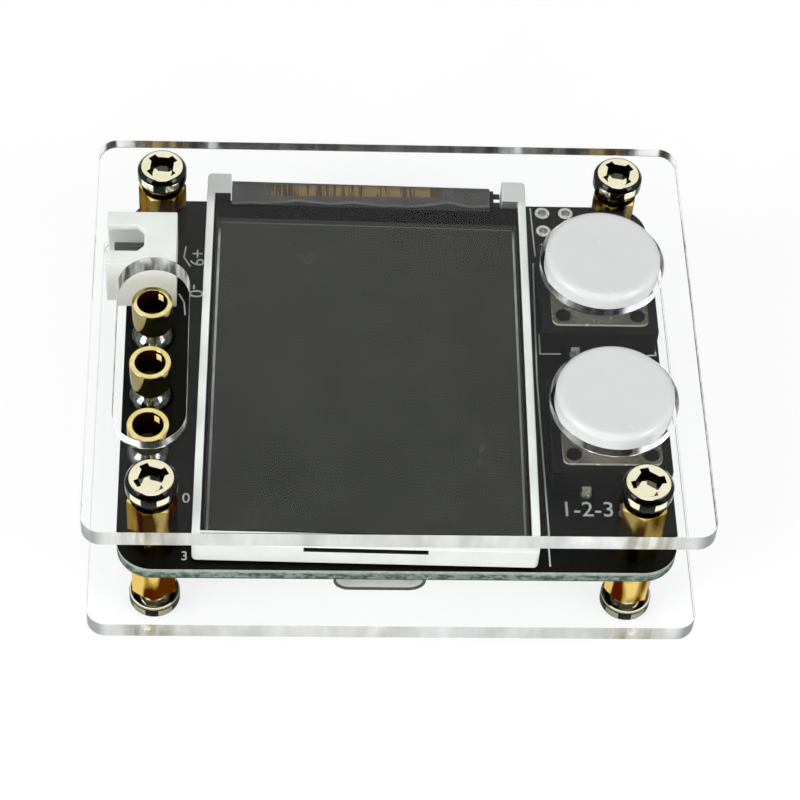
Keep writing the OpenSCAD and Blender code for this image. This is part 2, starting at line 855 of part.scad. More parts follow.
module microcontroller() {
    color("#1a1a1c") under(mcu_at)
        translate([0, 0, mcu_stand]) rounded_slab(mcu_w, mcu_w, mcu_h, 0.25);
}

module microcontroller_legs() {
    color("silver") under(mcu_at)
        for (a = [0, 90, 180, 270], i = [0:7])
            rotate([0, 0, a]) translate([(i - 3.5) * mcu_leg_pitch, mcu_w / 2, 0])
                gull_leg(mcu_leg_w, mcu_leg_reach, mcu_stand, mcu_stand + mcu_h / 2, mcu_leg_t);
}

module crystal() {
    color("silver") under(crystal_at) rounded_slab(crystal_w, crystal_d, crystal_h, 0.5);
}

module regulator() {
    color("#1a1a1c") under(regulator_at) translate([0, 0, mcu_leg_t])
        rounded_slab(regulator_w, regulator_d, regulator_h, 0.2);
}

module regulator_legs() {
    color("silver") under(regulator_at) {
        half = regulator_leg_w / 2;
        side = regulator_d / 2;
        for (i = [-1:1]) translate([i * regulator_leg_pitch, 0, 0])
            block(-half, half, -side - regulator_leg_reach, 0, 0, mcu_leg_t);
        block(-regulator_tab_w / 2, regulator_tab_w / 2, leg_root, side + regulator_tab_reach, 0, mcu_leg_t);
    }
}

module sot_body(at) {
    under(at) translate([0, 0, mcu_leg_t]) rounded_slab(sot_w, sot_d, sot_h, 0.12);
}

module sot_legs(at) {
    under(at) {
        reach = sot_d / 2 + sot_leg_reach;
        for (s = [-1, 1]) translate([s * sot_leg_pitch / 2, 0, 0])
            block(-sot_leg_w / 2, sot_leg_w / 2, -reach, -leg_root, 0, mcu_leg_t);
        block(-sot_leg_w / 2, sot_leg_w / 2, leg_root, reach, 0, mcu_leg_t);
    }
}

module voltage_reference() {
    color("#1a1a1c") sot_body(reference_at);
}

module transistors() {
    color("#1a1a1c") for (at = transistor_at) sot_body(at);
}

module transistor_legs() {
    color("silver") {
        for (at = transistor_at) sot_legs(at);
        sot_legs(reference_at);
    }
}

module chip_middle(at, h) {
    l = chip_l - 2 * chip_cap_l;
    under(at) block(-l / 2, l / 2, -chip_w / 2, chip_w / 2, 0, h);
}

module chip_ends(at, h) {
    under(at) for (s = [-1, 1])
        translate([s * (chip_l - chip_cap_l) / 2, 0, 0])
            block(-chip_cap_l / 2, chip_cap_l / 2, -chip_w / 2, chip_w / 2, 0, h);
}

module resistors() {
    color("#181818") for (at = resistor_at) chip_middle(at, resistor_h);
}

module capacitors() {
    color("tan") for (at = capacitor_at) chip_middle(at, capacitor_h);
}

module chip_end_caps() {
    color("silver") {
        for (at = resistor_at) chip_ends(at, resistor_h);
        for (at = capacitor_at) chip_ends(at, capacitor_h);
    }
}

module solder_cone(r, h, tip_share) {
    mirror([0, 0, 1]) cylinder(r1 = r, r2 = r * tip_share, h = h);
}

module solder_joints() {
    leg_y = switch_w / 2 + leg_out;
    half = battery_pin_w / 2;
    color("silver") translate([0, 0, board_z]) {
        for (y = [back_button_y, front_button_y], sx = [-1, 1], a = [0, 180])
            translate([button_x, y, 0]) rotate([0, 0, a]) translate([sx * leg_pitch / 2, 0, 0])
                difference() {
                    translate([0, leg_y + leg_t / 2, 0])
                        solder_cone(leg_solder_r, leg_solder_h, solder_tip_share);
                    block(-leg_w / 2, leg_w / 2, leg_y, leg_y + leg_t, -leg_below - over, over);
                }
        for (s = [-1, 1])
            translate([battery_leg_x, battery_y + s * battery_pitch / 2, 0])
                difference() {
                    solder_cone(pin_solder_r, pin_solder_h, solder_tip_share);
                    block(-half, half, -half, half, -pin_below - over, over);
                }
        for (i = [-1:1])
            translate([socket_x, socket_y + i * socket_pitch, 0])
                difference() {
                    solder_cone(socket_joint_r, socket_joint_h, socket_tip_share);
                    translate([0, 0, -socket_joint_h - over])
                        cylinder(r = socket_tail_r, h = socket_joint_h + 2 * over);
                }
    }
}

bottom_plate();
top_plate();
circuit_board();
bottom_screws();
top_screws();
lower_standoffs();
upper_standoffs();
lcd_tape();
lcd_frame();
lcd_light_guide();
lcd_backlight_leds();
lcd_rear_glass();
lcd_front_glass();
lcd_polarizer();
lcd_flex();
test_socket_1();
test_socket_2();
test_socket_3();
test_socket_solder();
battery_socket_housing();
battery_socket_pins();
back_switch_base();
back_switch_cover();
back_switch_legs();
back_switch_dome();
back_switch_plunger();
back_button_cap();
front_switch_base();
front_switch_cover();
front_switch_legs();
front_switch_dome();
front_switch_plunger();
front_button_cap();
usb_shell();
usb_tongue();
microcontroller();
microcontroller_legs();
crystal();
regulator();
regulator_legs();
voltage_reference();
transistors();
transistor_legs();
resistors();
capacitors();
chip_end_caps();
solder_joints();
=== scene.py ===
"""The looks of the component tester: clear plates, gilt hardware, black board, bare display and buttons."""

import math

import bmesh
import bpy
from mathutils import Matrix, Quaternion, Vector


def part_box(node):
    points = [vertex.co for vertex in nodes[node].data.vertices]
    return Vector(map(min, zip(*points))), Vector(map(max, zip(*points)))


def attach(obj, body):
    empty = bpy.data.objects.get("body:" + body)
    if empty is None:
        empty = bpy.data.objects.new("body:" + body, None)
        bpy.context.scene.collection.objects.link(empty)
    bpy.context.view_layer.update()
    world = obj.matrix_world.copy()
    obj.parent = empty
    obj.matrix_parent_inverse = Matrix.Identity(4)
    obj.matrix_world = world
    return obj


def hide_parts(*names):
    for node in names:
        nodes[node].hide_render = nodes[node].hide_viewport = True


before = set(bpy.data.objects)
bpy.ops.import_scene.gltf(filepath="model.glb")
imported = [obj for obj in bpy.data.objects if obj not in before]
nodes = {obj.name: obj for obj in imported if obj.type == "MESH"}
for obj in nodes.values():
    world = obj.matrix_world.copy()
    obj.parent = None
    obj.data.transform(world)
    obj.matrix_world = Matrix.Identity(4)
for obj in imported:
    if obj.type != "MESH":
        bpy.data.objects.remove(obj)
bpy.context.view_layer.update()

MM = 0.001
CASE = "case"


def corners(node):
    """Lowest and highest corner of a node, in millimetres."""
    low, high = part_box(node)
    return low / MM, high / MM


def middle(node):
    low, high = corners(node)
    return (low + high) / 2


# ---------- places, in millimetres, read from the frame ----------

BOARD_LOW, BOARD_HIGH = corners("circuit_board")
BOARD_TOP = BOARD_HIGH.z
PLATE_LOW, PLATE_HIGH = corners("top_plate")
BASE_LOW, BASE_HIGH = corners("bottom_plate")
SCREWS_LOW, SCREWS_HIGH = corners("top_screws")
LCD_LOW, LCD_HIGH = corners("lcd_frame")
USB_LOW = corners("usb_shell")[0]

HEAD_R = 2.55
HEAD_H = 1.8
SHANK_R = 1.25
SHANK_L = 5.0
POST_X = (SCREWS_HIGH.x - SCREWS_LOW.x) / 2 - HEAD_R
POST_Y = (SCREWS_HIGH.y - SCREWS_LOW.y) / 2 - HEAD_R
# Corner posts: front left, front right, back left, back right
POSTS = [Vector((sx * POST_X, sy * POST_Y, 0)) for sy in (-1, 1) for sx in (-1, 1)]

LCD_W = 34.0
LCD_L = 47.6
LCD_RAIL = 0.8
LCD_FRONT_WALL = 1.15
# Slot of the display's front wall, with its height over the board
LCD_SLOT_W = 12
LCD_SLOT_H = 0.5
LCD_SLOT_Z = 2.3
LCD_TURN = math.radians(-1.1)
LCD_TOP = LCD_HIGH.z
LCD_MIDDLE = (LCD_LOW + LCD_HIGH) / 2
LCD_FLAT = Matrix.Rotation(LCD_TURN, 4, "Z")
LCD_RIGHTWARD = LCD_FLAT @ Vector((1, 0, 0))
LCD_BACKWARD = LCD_FLAT @ Vector((0, 1, 0))
# Half of the film's width, and its back edge along LCD_BACKWARD
FILM_HALF = 15.4
FILM_BACK = max(point.co.dot(LCD_BACKWARD) for point in nodes["lcd_polarizer"].data.vertices) / MM

# Where the display's ears begin, the fold of its flex and the window of bare pads on it
EARS_Y = 21.4
FLEX_FOLD = 21.35
FLEX_PADS_X = (-12.6, 5.8)
FLEX_PADS_Y = (22.35, 23.75)
# Black strips that stand in for painted shade in the gap by each rail: off the rail's inner wall, below the
# display's top and short of its back
RIM_SHADE_X = (0.02, 0.28)
RIM_SHADE_Z = (1.9, 0.55)
RIM_SHADE_BACK = 3.2
# Black tabs at the flex's right end, as low and high corners in the display's own frame
FLEX_TABS = [
    ((13.1, 44.6, 2.0), (13.65, 46.9, 2.2)),
    ((13.6, 45.9, 2.0), (14.3, 46.5, 2.2)),
    ((13.6, 44.6, 2.0), (14.3, 45.3, 2.2))]


def display_start(z):
    """Where the display's own frame begins: the middle of its front wall, z over the ground."""
    return Vector((LCD_MIDDLE.x, LCD_MIDDLE.y, z)) + LCD_FLAT @ Vector((0, -LCD_L / 2, 0))


# ---------- camera ----------

CAMERA_LENS = 125.18
CAMERA_AZIMUTH = math.radians(-5.471)
CAMERA_ELEVATION = math.radians(52.369)
CAMERA_ROLL = math.radians(5.008)
CAMERA_DISTANCE = 285.62 * MM
CAMERA_AIM = Vector((0.88, -2.39, 11.3)) * MM


def add_camera():
    back = Vector((
        math.sin(CAMERA_AZIMUTH) * math.cos(CAMERA_ELEVATION),
        -math.cos(CAMERA_AZIMUTH) * math.cos(CAMERA_ELEVATION),
        math.sin(CAMERA_ELEVATION)))
    camera = bpy.data.objects.new("camera", bpy.data.cameras.new("camera"))
    bpy.context.scene.collection.objects.link(camera)
    camera.data.lens = CAMERA_LENS
    camera.data.clip_start = 10 * MM
    camera.data.clip_end = 10
    camera.rotation_mode = "QUATERNION"
    camera.location = CAMERA_AIM + back * CAMERA_DISTANCE
    level = back.to_track_quat("Z", "Y")
    camera.rotation_quaternion = level @ Quaternion((0, 0, 1), CAMERA_ROLL)
    bpy.context.scene.camera = camera


# ---------- modelling helpers ----------

def deselect():
    if bpy.context.object and bpy.context.object.mode != "OBJECT":
        bpy.ops.object.mode_set(mode="OBJECT")
    bpy.ops.object.select_all(action="DESELECT")


def activate(piece):
    deselect()
    piece.select_set(True)
    bpy.context.view_layer.objects.active = piece


def named(name):
    piece = bpy.context.object
    piece.name = name
    piece.data.name = name
    return piece


def apply_place():
    bpy.ops.object.transform_apply(location=True, rotation=True, scale=True)


def block(name, low, high, turn=0.0):
    """A box between two corners, in millimetres, turned about its own middle."""
    deselect()
    low, high = Vector(low) * MM, Vector(high) * MM
    bpy.ops.mesh.primitive_cube_add(size=1, location=(low + high) / 2, rotation=(0, 0, turn))
    bpy.context.object.scale = high - low
    apply_place()
    return named(name)


def turned(name, rings, sides, at=(0, 0, 0), hollow=False):
    """A turned solid: a ring extruded and scaled from one (radius, height) to the next.

    It ends in discs. With hollow, its section closes on itself instead and leaves a hole through it.
    """
    deselect()
    at = Vector(at) * MM
    radius, height = rings[0][0] * MM, rings[0][1] * MM
    bpy.ops.mesh.primitive_circle_add(
        vertices=sides, radius=radius, fill_type="NOTHING" if hollow else "NGON",
        location=(at.x, at.y, at.z + height))
    bpy.ops.object.mode_set(mode="EDIT")
    bpy.ops.mesh.select_all(action="SELECT")
    for ring_radius, ring_height in rings[1:] + (rings[:1] if hollow else []):
        rise = ring_height * MM - height
        grow = ring_radius * MM / radius
        bpy.ops.mesh.extrude_region_move(TRANSFORM_OT_translate={"value": (0, 0, rise)})
        bpy.ops.transform.resize(value=(grow, grow, 1), center_override=at)
        radius, height = ring_radius * MM, ring_height * MM
    bpy.ops.mesh.select_all(action="SELECT")
    if hollow:
        bpy.ops.mesh.remove_doubles(threshold=0.0005 * MM)
    bpy.ops.mesh.normals_make_consistent(inside=False)
    bpy.ops.object.mode_set(mode="OBJECT")
    apply_place()
    return named(name)


def arc(middle_r, middle_z, radius, start, end, steps):
    """Ring points along an arc, with its angles in degrees from the outward direction."""
    span = [math.radians(start + (end - start) * i / steps) for i in range(steps + 1)]
    return [(middle_r + radius * math.cos(a), middle_z + radius * math.sin(a)) for a in span]


def with_modifier(piece, kind, **settings):
    """Adds a modifier to a piece and applies it."""
    activate(piece)
    modifier = piece.modifiers.new(kind.lower(), kind)
    for key, value in settings.items():
        setattr(modifier, key, value)
    bpy.ops.object.modifier_apply(modifier=modifier.name)
    return piece


def cut(piece, cutter, operation="DIFFERENCE"):
    with_modifier(piece, "BOOLEAN", object=cutter, operation=operation, solver="EXACT")
    bpy.data.objects.remove(cutter)
    return piece


def soften(piece, width, segments=2, angle=30):
    """Rounds the edges that are sharper than an angle, then smooths what is round."""
    with_modifier(
        piece, "BEVEL", width=width * MM, segments=segments, limit_method="ANGLE",
        angle_limit=math.radians(angle), use_clamp_overlap=True, harden_normals=False)
    return smooth(piece, angle)


def smooth(piece, angle=30):
    """Shades round parts smoothly, with the flat faces kept flat."""
    activate(piece)
    bpy.ops.object.shade_smooth_by_angle(angle=math.radians(angle))
    return with_modifier(piece, "WEIGHTED_NORMAL", mode="FACE_AREA", weight=100, keep_sharp=True)


def mark_faces(piece, mark, inside):
    """Marks the faces whose middle, in millimetres, passes a test, for a finish that reads the mark."""
    layer = piece.data.attributes.get(mark) or piece.data.attributes.new(mark, "FLOAT", "CORNER")
    for face in piece.data.polygons:
        if inside(face.center / MM):
            for corner in face.loop_indices:
                layer.data[corner].value = 1.0


def copied(piece, name, move, turn=0.0, flip=False):
    """A copy with its own mesh, moved in millimetres, turned about Z and, with flip, upside down."""
    activate(piece)
    bpy.ops.object.duplicate(linked=False)
    twin = named(name)
    twin.location = Vector(move) * MM
    twin.rotation_euler = (math.pi if flip else 0, 0, turn)
    apply_place()
    return twin


def joined(pieces, name):
    deselect()
    for piece in pieces:
        piece.select_set(True)
    bpy.context.view_layer.objects.active = pieces[0]
    bpy.ops.object.join()
    return named(name)


def copy_of_node(node, name, edge, segments=2, angle=30):
    """A copy of a node's mesh with its triangles merged into faces and its edges rounded."""
    deselect()
    piece = bpy.data.objects.new(name, nodes[node].data.copy())
    bpy.context.scene.collection.objects.link(piece)
    piece.data.materials.clear()
    activate(piece)
    bpy.ops.object.mode_set(mode="EDIT")
    bpy.ops.mesh.select_all(action="SELECT")
    bpy.ops.mesh.customdata_custom_splitnormals_clear()
    bpy.ops.mesh.remove_doubles(threshold=0.001 * MM)
    bpy.ops.mesh.dissolve_limited(angle_limit=math.radians(0.5))
    bpy.ops.object.mode_set(mode="OBJECT")
    return soften(piece, edge, segments, angle)


def dress(piece, finish, slot, *stands_for, body=CASE):
    """Gives a piece its finish and its place in the frame."""
    piece.data.materials.clear()
    piece.data.materials.append(FINISHES[finish])
    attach(piece, body)
    if stands_for:
        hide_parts(*stands_for)
    return piece


def paint(node, finish):
    """Gives a carried-over node its finish."""
    for place in nodes[node].material_slots:
        place.material = FINISHES[finish]


# ---------- finishes ----------

def ink(code):
    """A written colour such as 'c89a45' as the linear value that a shader takes."""
    parts = [int(code[i:i + 2], 16) / 255 for i in (0, 2, 4)]
    line = [p / 12.92 if p <= 0.04045 else ((p + 0.055) / 1.055) ** 2.4 for p in parts]
    return (*line, 1)


def grey(level):
    return (level, level, level, 1)


WHITE = grey(1)


class Finish:
    """A material or a world being mixed: add() puts in a node, and end() links its last shader."""

    def __init__(self, name, world=False):
        self.kind = "World" if world else "Material"
        self.owner = (bpy.data.worlds if world else bpy.data.materials).new(name)
        self.owner.use_nodes = True
        self.tree = self.owner.node_tree
        self.tree.nodes.clear()

    def add(self, kind, inputs=None, **settings):
        node = self.tree.nodes.new("ShaderNode" + kind)
        for key, value in settings.items():
            setattr(node, key, value)
        for key, value in (inputs or {}).items():
            if isinstance(value, bpy.types.NodeSocket):
                self.tree.links.new(value, node.inputs[key])
            else:
                node.inputs[key].default_value = value
        return node

    def end(self, shader):
        output = self.add("Output" + self.kind)
        self.tree.links.new(shader.outputs[0], output.inputs["Surface"])
        return self.owner

    def principled(self, inputs):
        """Ends the finish with one principled shader."""
        return self.end(self.add("BsdfPrincipled", inputs))

    def place(self, stretch=(1, 1, 1), turn=0.0):
        """The piece's own coordinates, stretched and turned."""
        source = self.add("TexCoord").outputs["Object"]
        mapping = self.add("Mapping", {"Vector": source, "Scale": stretch, "Rotation": (0, 0, turn)})
        return mapping.outputs[0]

    def axes(self, stretch=(1, 1, 1)):
        """The piece's own coordinates one by one, as X, Y and Z."""
        return self.add("SeparateXYZ", {0: self.place(stretch)}).outputs

    def along(self, direction):
        """How far each point of the piece lies along a direction, in metres."""
        inputs = {0: self.place(), 1: direction}
        return self.add("VectorMath", inputs, operation="DOT_PRODUCT").outputs["Value"]

    def facing(self, axis):
        """How far the surface faces along an axis, from -1 to 1."""
        normal = self.add("TexCoord").outputs["Normal"]
        return self.add("SeparateXYZ", {0: normal}).outputs[axis]

    def edge(self, start=0.3, end=0.7):
        """1 on upright faces and 0 on level ones."""
        return self.between(self.calc("ABSOLUTE", self.facing("Z")), 1, 0, start, end)

    def noise(self, size, detail, stretch=(1, 1, 1), rough=0.5):
        """Cloudy noise with grains about as large as size, in millimetres."""
        return self.add("TexNoise", {
            "Vector": self.place(stretch), "Scale": 1 / (size * MM), "Detail": detail,
            "Roughness": rough}).outputs["Fac"]

    def calc(self, operation, *values, clamp=False):
        """The result of an operation on one or more values."""
        node = self.add("Math", dict(enumerate(values)), operation=operation, use_clamp=clamp)
        return node.outputs[0]

    def times(self, value, *others):
        """The product of two or more values."""
        for other in others:
            value = self.calc("MULTIPLY", value, other)
        return value

    def between(self, value, low, high, start=0.3, end=0.7, curve="LINEAR"):
        """A value carried from start..end to low..high."""
        inputs = {"Value": value, "From Min": start, "From Max": end, "To Min": low, "To Max": high}
        return self.add("MapRange", inputs, interpolation_type=curve).outputs["Result"]

    def past(self, value, start, end):
        """0 before one place and 1 past another, in millimetres, for a value in metres."""
        return self.between(value, 0, 1, start * MM, end * MM)

    def before(self, value, start, end):
        """1 before one place and 0 past another, in millimetres, for a value in metres."""
        return self.between(value, 1, 0, start * MM, end * MM)

    def within(self, value, low, high, soft):
        """1 between two places in millimetres, with soft ends, for a value in metres."""
        rise = self.past(value, low - soft, low + soft)
        return self.times(rise, self.before(value, high - soft, high + soft))

    def mix(self, amount, one, two):
        """Two values mixed by an amount."""
        return self.add("Mix", {0: amount, 2: one, 3: two}, data_type="FLOAT").outputs[0]

    def blend(self, amount, one, two):
        """Two colours mixed by an amount."""
        return self.add("Mix", {0: amount, 6: one, 7: two}, data_type="RGBA").outputs[2]

    def mixed(self, amount, one, two):
        """Two shaders mixed by an amount."""
        return self.add("MixShader", {0: amount, 1: one.outputs[0], 2: two.outputs[0]})

    def bump(self, height, depth, normal=None):
        """A normal from a height, for relief that is depth millimetres deep."""
        inputs = {"Height": height, "Distance": depth * MM}
        if normal:
            inputs["Normal"] = normal
        return self.add("Bump", inputs).outputs["Normal"]

    def seen_directly(self):
        """1 for what the camera sees, also through clear sheet, but 0 after a bounce off something dull."""
        path = self.add("LightPath").outputs
        seen = self.calc("ADD", path["Is Camera Ray"], path["Is Transmission Ray"], clamp=True)
        return self.times(seen, self.calc("LESS_THAN", path["Diffuse Depth"], 0.5))


def clear_acrylic():
    """Clear sheet: polished faces, and edges that the saw left a little frosted."""
    finish = Finish("clear_acrylic")
    edge = finish.edge()
    streaks = finish.noise(0.8, 2, (1, 1, 0.12))
    smudge = finish.between(finish.noise(9, 3), 0.0, 0.02)
    frost = finish.between(streaks, 0.1, 0.24)
    glass = finish.add("BsdfPrincipled", {
        "Base Color": (0.985, 0.995, 0.99, 1), "Roughness": finish.mix(edge, smudge, frost), "IOR": 1.49,
        "Specular Tint": (0.13, 0.13, 0.13, 1), "Transmission Weight": 1.0,
        "Normal": finish.bump(finish.times(streaks, edge), 0.02)})
    # from outside the sawn edges look milky
    haze = finish.between(finish.noise(2.2, 3, (1, 1, 0.3)), 0, 1)
    tone = finish.blend(haze, ink("f4f6f4"), ink("d3d5d3"))
    outside = finish.between(finish.add("NewGeometry").outputs["Backfacing"], 1, 0, 0, 1)
    # these two run from 0 in the plate's middle to 1, in thousandths, at its edges
    place = finish.axes((1 / PLATE_HIGH.x, 1 / PLATE_HIGH.y, 1))
    across, back = (finish.calc("ABSOLUTE", place[axis]) for axis in "XY")
    outline = finish.past(finish.calc("MAXIMUM", across, back), 0.94, 0.97)
    # painted reflection: the edges take a brass tint next to the posts; the corners are greyer
    brass = finish.times(finish.within(across, 0.7, 0.87, 0.03), outline, finish.between(streaks, 0.05, 0.75))
    tone = finish.blend(brass, tone, ink("8c8460"))
    corner = finish.between(finish.calc("MINIMUM", across, back), 0, 0.7, 0.93 * MM, 0.96 * MM)
    milky = finish.add("BsdfDiffuse", {"Color": finish.blend(corner, tone, ink("85878a"))})
    openings = finish.between(finish.noise(1.1, 2, (1, 1, 0.15)), 0.05, 0.75, 0.38, 0.62)
    rim = finish.between(finish.noise(3.5, 2, (1, 1, 0.2)), 0.72, 0.9)
    milk = finish.times(edge, outside, finish.mix(outline, openings, rim))
    sheet = finish.mixed(milk, glass, milky)
    # light passes straight through it to what lies below
    through = finish.add("BsdfTransparent", {"Color": (0.94, 0.95, 0.945, 1)})
    shadow = finish.add("LightPath").outputs["Is Shadow Ray"]
    return finish.end(finish.mixed(shadow, sheet, through))


def gilt(name, light, deep, dark):
    """Bright gold-coloured plating over turned brass, with painted shade and painted dark reflection on faces
    marked for it, and a painted highlight that glows on others.
    """
    finish = Finish(name)
    cloud = finish.noise(1.4, 4)
    painted_shade, painted_glint = (
        finish.add("Attribute", attribute_name=mark).outputs["Fac"] for mark in ("painted_shade", "painted_glint"))
    colour = finish.blend(finish.between(cloud, 0, 1), ink(light), ink(deep))
    # painted shade and painted dark reflection on the marked faces, where the metal is also duller
    colour = finish.blend(painted_shade, colour, ink(dark))
    # the painted highlight: a bright colour that glows, on the faces marked for it
    return finish.principled({
        "Base Color": finish.blend(painted_glint, colour, ink("fff0a8")),
        "Metallic": finish.calc("SUBTRACT", finish.between(painted_shade, 1, 0.6, 0, 1), painted_glint, clamp=True),
        "Emission Color": ink("f2d070"), "Emission Strength": finish.between(painted_glint, 0, 0.45, 0, 1),
        "Roughness": finish.between(cloud, 0.06, 0.108),
        "Normal": finish.bump(finish.noise(0.35, 2, (1, 1, 6)), 0.002)})


def drawn_brass():
    """Polished hexagonal bar with broad, soft bands along it."""
    finish = Finish("drawn_brass")
    bands = finish.noise(1.5, 1, (1, 1, 0.22))
    return finish.principled({
        "Base Color": finish.blend(finish.between(bands, 0, 1, 0.42, 0.58), ink("5e400c"), ink("f8da88")),
        "Metallic": 1.0, "Specular Tint": ink("9a6418"),
        "Roughness": finish.between(finish.noise(0.8, 3), 0.07, 0.14),
        "Normal": finish.bump(finish.noise(0.3, 2, (1, 1, 0.15)), 0.0015)})


def metal(name, colour, rough, patch=1.0, bare=1.0, edge=None):
    """Plated or tinned metal; with less than 1 of it bare, a dull film over it scatters light."""
    finish = Finish(name)
    cloud = finish.noise(patch, 4)
    dull = finish.blend(finish.between(cloud, 0, 0.35), ink(colour), (0.12, 0.11, 0.1, 1))
    # painted highlight: a bright colour on the upright faces, such as the edges
    if edge:
        dull = finish.blend(finish.edge(0.8, 0.97), dull, ink(edge))
    return finish.principled({
        "Base Color": dull, "Metallic": bare, "Roughness": finish.between(cloud, rough * 0.7, rough * 1.4),
        "Normal": finish.bump(finish.noise(patch / 5, 2), 0.003)})


def plastic(name, colour, shade, rough, grain=0.12, relief=0.004, glow=0.0, shine=0.5):
    """Moulded plastic: a fine satin grain, slight cloudiness and, with glow, light under the skin."""
    finish = Finish(name)
    cloud = finish.noise(3.0, 3)
    tone = finish.blend(finish.between(cloud, 0, 1), ink(colour), ink(shade))
    return finish.principled({
        "Base Color": tone, "Roughness": finish.between(cloud, rough * 0.85, rough * 1.15),
        "Subsurface Weight": glow, "Subsurface Scale": 0.6 * MM, "Subsurface Radius": (1, 1, 1),
        "Specular IOR Level": shine, "Normal": finish.bump(finish.noise(grain, 2), relief)})


def board_finish():
    """Black solder mask over copper, with a pale resin edge where the board was cut."""
    finish = Finish("black_board")
    cut_edge = finish.edge()
    blotches = finish.noise(0.7, 3, (1, 1, 1.6), 0.6)
    resin = finish.blend(finish.between(blotches, 0, 1, 0.4, 0.6), ink("84958b"), ink("43544b"))
    # painted highlight: the cut edge is paler near the top; it is also darker near the bottom
    height = finish.axes()["Z"]
    pale = finish.past(height, BOARD_TOP - 0.65, BOARD_TOP - 0.3)
    dark = finish.past(height, BOARD_TOP - 1.3, BOARD_TOP - 1.45)
    resin = finish.blend(pale, resin, finish.blend(blotches, ink("c9d0cb"), ink("75857c")))
    resin = finish.blend(dark, resin, ink("3d4c44"))
    mask = finish.blend(finish.between(finish.noise(2.5, 4), 0, 1), ink("030403"), ink("080a08"))
    # copper under the mask: long straight runs in two directions
    runs = [
        finish.add("TexBrick", {
            "Vector": finish.place((1, 1, 1), turn), "Scale": scale, "Mortar Size": 0.035,
            "Mortar Smooth": 0.6, "Brick Width": 2.4, "Row Height": 0.42,
            "Color1": WHITE, "Color2": WHITE, "Mortar": grey(0)}).outputs["Color"]
        for turn, scale in ((0.0, 420), (math.pi / 2, 300))]
    weave = finish.bump(finish.noise(0.2, 2), 0.001)
    return finish.principled({
        "Base Color": finish.blend(cut_edge, mask, resin), "Specular IOR Level": 0.09,
        "Roughness": finish.mix(cut_edge, finish.between(finish.noise(5, 3), 0.3, 0.42), 0.65),
        "Normal": finish.bump(finish.times(*runs), 0.006, normal=weave)})


def marking_ink():
    """White print, thin in places."""
    finish = Finish("marking_ink")
    thin = finish.between(finish.noise(0.18, 4), 0, 1)
    return finish.principled({"Base Color": finish.blend(thin, ink("dfe3df"), ink("aeb4af")), "Roughness": 0.6})


def display_film():
    """The display's front polarizer: dark grey, smooth, with a faint haze."""
    finish = Finish("display_film")
    haze = finish.noise(6, 4)
    colour = finish.blend(finish.between(haze, 0, 1), ink("20211e"), ink("282925"))
    # a thin light line along its back edge
    line = finish.past(finish.along(LCD_BACKWARD), FILM_BACK - 0.18, FILM_BACK - 0.1)
    return finish.principled({
        "Base Color": finish.blend(line, colour, ink("4b4d49")),
        "Roughness": finish.between(haze, 0.2, 0.28), "Specular IOR Level": 0.2,
        "Normal": finish.bump(finish.noise(0.08, 2), 0.0006)})


def display_glass(name, ledge, shine=0.2):
    """Glass over a dark layer; beside the film its bare border is light, and darker towards the back."""
    finish = Finish(name)
    haze = finish.between(finish.noise(1.5, 4), 0, 1)
    back = finish.axes()["Y"]
    bare = finish.blend(haze, ink("cfd1ce"), ink("a3a6a2"))
    bare = finish.blend(finish.before(back, -20, 12), bare, ink("6f716e"))
    # only a thin line of the border next to the film is light; past it the border is painted dark, as painted
    # shade in the gap by the rail
    across = finish.calc("SUBTRACT", finish.along(LCD_RIGHTWARD), LCD_MIDDLE.dot(LCD_RIGHTWARD) * MM)
    gap_shade = finish.past(finish.calc("ABSOLUTE", across), FILM_HALF + 0.18, FILM_HALF + 0.3)
    bare = finish.blend(gap_shade, bare, ink("121312"))
    body = finish.blend(finish.past(back, 16.2, 17.6), bare, ink(ledge))
    return finish.principled({
        "Base Color": finish.blend(finish.edge(), body, ink("5d655f")), "Roughness": 0.1,
        "Specular IOR Level": shine})


def flex_film():
    """Dark film with bare gold-brown pads that show in a window near its bend."""
    finish = Finish("flex_film")
    dark = finish.blend(finish.between(finish.noise(2, 3), 0, 1), ink("3f3f3e"), ink("2e2e2c"))
    place = finish.axes()
    # its front end is black up to a wavy line, with a pale fold along the line
    wave = finish.between(finish.noise(4, 1, (1, 0.05, 0.05)), 0.35, -0.35)
    wave = finish.calc("MULTIPLY_ADD", wave, MM, place["Y"])
    dark = finish.blend(finish.within(wave, FLEX_FOLD, FLEX_FOLD + 0.28, 0.08), dark, ink("525352"))
    dark = finish.blend(finish.before(wave, FLEX_FOLD - 0.05, FLEX_FOLD + 0.05), dark, ink("070807"))
    window = finish.times(
        finish.within(place["X"], *FLEX_PADS_X, 0.25), finish.within(place["Y"], *FLEX_PADS_Y, 0.12))
    bars = finish.noise(1.3, 3, (1, 0.05, 0.05), 0.8)
    fine = finish.noise(0.5, 1, (1, 0.08, 0.08))
    copper = finish.blend(finish.between(bars, 0, 1, 0.45, 0.48), ink("35280f"), ink("6f5836"))
    copper = finish.blend(finish.between(fine, 1, 0, 0.4, 0.44), copper, ink("2c1c08"))
    return finish.principled({
        "Base Color": finish.blend(window, dark, copper), "Roughness": 0.3, "Specular IOR Level": 0.3,
        "Normal": finish.bump(finish.noise(1.6, 2), 0.05)})


